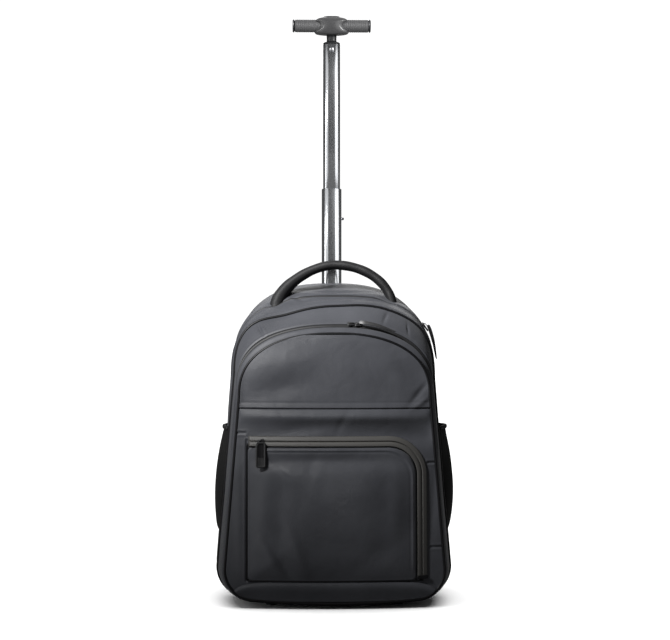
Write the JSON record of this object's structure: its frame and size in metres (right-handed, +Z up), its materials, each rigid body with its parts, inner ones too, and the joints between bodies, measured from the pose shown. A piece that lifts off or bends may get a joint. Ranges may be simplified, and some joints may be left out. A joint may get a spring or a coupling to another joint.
{
  "type": "wheeled backpack",
  "caption": "Zipped cloth backpack on two rear wheels and two front feet, with a telescopic pole and T-shaped grip drawn out above it, a carry handle and padded shoulder straps.",
  "frame": {"origin": "on the floor under the middle of the bag", "axes": "+Z up, -Y the way the front pocket faces, +X to the right of someone facing the bag"},
  "size_m": [0.3751, 0.2834, 0.925],
  "materials": {
    "cloth": "dark grey coated twill",
    "mesh": "black open mesh",
    "piping": "black covered cord and padded webbing",
    "zip": "black coil zip on tape",
    "padding": "black padded mesh",
    "tube": "polished",
    "bright": "dark plated steel",
    "grip": "moulded grey",
    "moulding": "moulded black",
    "tyre": "black"
  },
  "bodies": {
    "bag": {"organiser_gusset": "cloth", "main_gusset": "cloth", "divider_panel": "cloth", "front_lower_panel": "cloth", "front_upper_panel": "cloth", "back_wall": "cloth", "front_pocket": "cloth", "foot_band": "cloth", "tube_cover": "cloth", "side_pocket_right": "mesh", "side_pocket_left": "mesh", "front_piping": "piping", "divider_piping": "piping", "back_piping": "piping", "carry_handle": "piping", "side_pocket_hem_right": "piping", "side_pocket_hem_left": "piping", "organiser_zip": "zip", "main_zip": "zip", "front_pocket_zip": "zip", "back_pad_right": "padding", "back_pad_left": "padding", "shoulder_strap_right": "padding", "shoulder_strap_left": "padding", "strap_webbing_right": "padding", "strap_webbing_left": "padding", "outer_tube": "tube", "axle_right": "bright", "axle_left": "bright", "organiser_slider": "bright", "main_slider": "bright", "pocket_slider": "bright", "tube_collar": "moulding", "base_housing": "moulding", "pole_socket": "moulding", "front_foot_right": "moulding", "front_foot_left": "moulding", "ladder_lock_right": "moulding", "ladder_lock_left": "moulding", "organiser_pull": "moulding", "main_pull": "moulding", "pocket_pull": "moulding"},
    "lower_pole": {"lower_tube": "tube", "pole_nub": "bright"},
    "upper_pole": {"upper_tube": "tube", "grip_rivet": "bright", "grip_neck": "moulding", "grip_hub": "grip", "grip_right": "grip", "grip_left": "grip", "grip_cap_right": "moulding", "grip_cap_left": "moulding"},
    "button": {"release_button": "moulding"},
    "wheel_right": {"wheel_tyre_right": "tyre", "wheel_rim_right": "moulding"},
    "wheel_left": {"wheel_tyre_left": "tyre", "wheel_rim_left": "moulding"}
  },
  "joints": [
    {"name": "lower_tube_slide", "type": "slide", "parent": "bag", "child": "lower_pole", "axis": [0, 0, 1], "range_m": [-0.163, 0]},
    {"name": "upper_tube_slide", "type": "slide", "parent": "lower_pole", "child": "upper_pole", "axis": [0, 0, 1], "range_m": [-0.222, 0]},
    {"name": "release_button_press", "type": "slide", "parent": "upper_pole", "child": "button", "axis": [0, 0, -1], "range_m": [0, 0.003], "stiffness_N_per_m": 600},
    {"name": "wheel_right_spin", "type": "hinge", "parent": "bag", "child": "wheel_right", "pos_m": [0.141, 0.0889, 0.034], "axis": [1, 0, 0], "continuous": true},
    {"name": "wheel_left_spin", "type": "hinge", "parent": "bag", "child": "wheel_left", "pos_m": [-0.141, 0.0889, 0.034], "axis": [1, 0, 0], "continuous": true}
  ]
}
